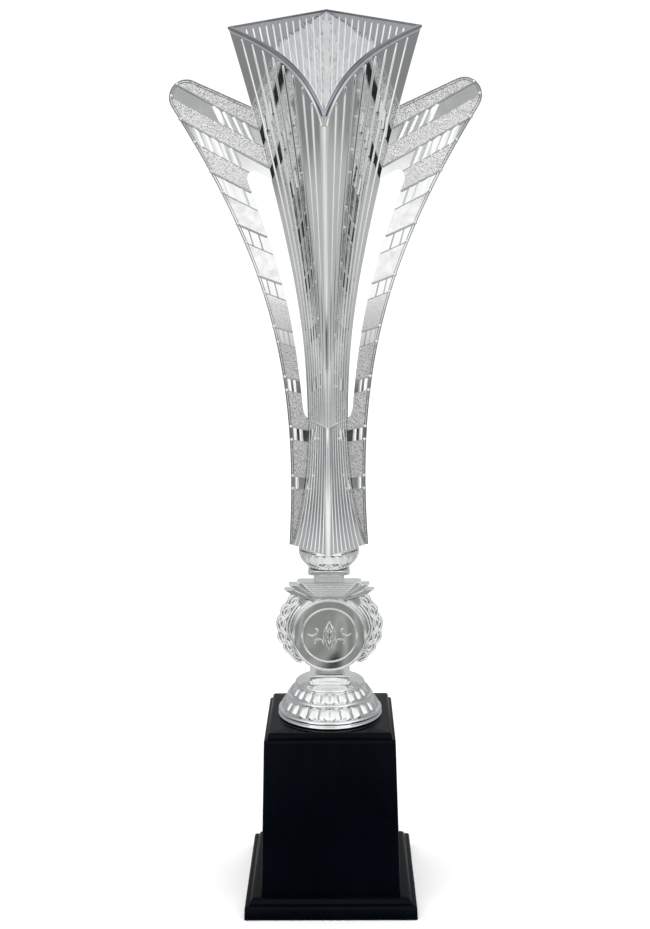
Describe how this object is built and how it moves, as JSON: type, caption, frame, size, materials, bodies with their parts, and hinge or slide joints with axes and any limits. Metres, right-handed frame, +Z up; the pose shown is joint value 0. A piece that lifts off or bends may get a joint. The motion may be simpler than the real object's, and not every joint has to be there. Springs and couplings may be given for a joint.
{
  "type": "trophy cup",
  "caption": "Tall silver presentation trophy: flared four-panel cup with a front scoop and two side wings, on a wreath riser, gadrooned foot and square black pedestal.",
  "frame": {"origin": "centre of the pedestal's underside, on the surface it stands on", "axes": "+Z up along the tie rod; the cup's open scoop faces -Y; the wings spread along +X and -X"},
  "size_m": [0.135, 0.1451, 0.4116],
  "materials": {
    "mirror_silver": "vacuum-metallised plastic, mirror bright",
    "relief_silver": "vacuum-metallised plastic, stippled relief bands with bright edges",
    "disc_silver": "pressed foil, low relief",
    "black_gloss": "polished black moulding",
    "zinc_steel": "zinc plated",
    "fibreboard": "hardboard",
    "green_felt": "felt"
  },
  "bodies": {
    "root": {"felt_pad": "green_felt", "bottom_cover": "fibreboard", "cover_screws": "zinc_steel", "base_weight": "zinc_steel", "plinth_frame": "black_gloss", "pillar_shell": "black_gloss", "cap_plate": "black_gloss", "foot_dome": "mirror_silver", "riser_front": "mirror_silver", "riser_rear": "mirror_silver", "wreath_left": "relief_silver", "wreath_right": "relief_silver", "bezel_front": "mirror_silver", "bezel_rear": "mirror_silver", "disc_front": "disc_silver", "disc_rear": "disc_silver", "collar_plate": "mirror_silver", "calyx_bowl": "mirror_silver", "cup_sleeve": "mirror_silver", "cup_front_shell": "mirror_silver", "cup_rear_shell": "mirror_silver", "wing_left": "relief_silver", "wing_right": "relief_silver", "tie_rod": "zinc_steel", "base_washer": "zinc_steel", "base_nut": "zinc_steel", "cup_washer": "zinc_steel", "cup_nut": "zinc_steel"}
  },
  "joints": []
}
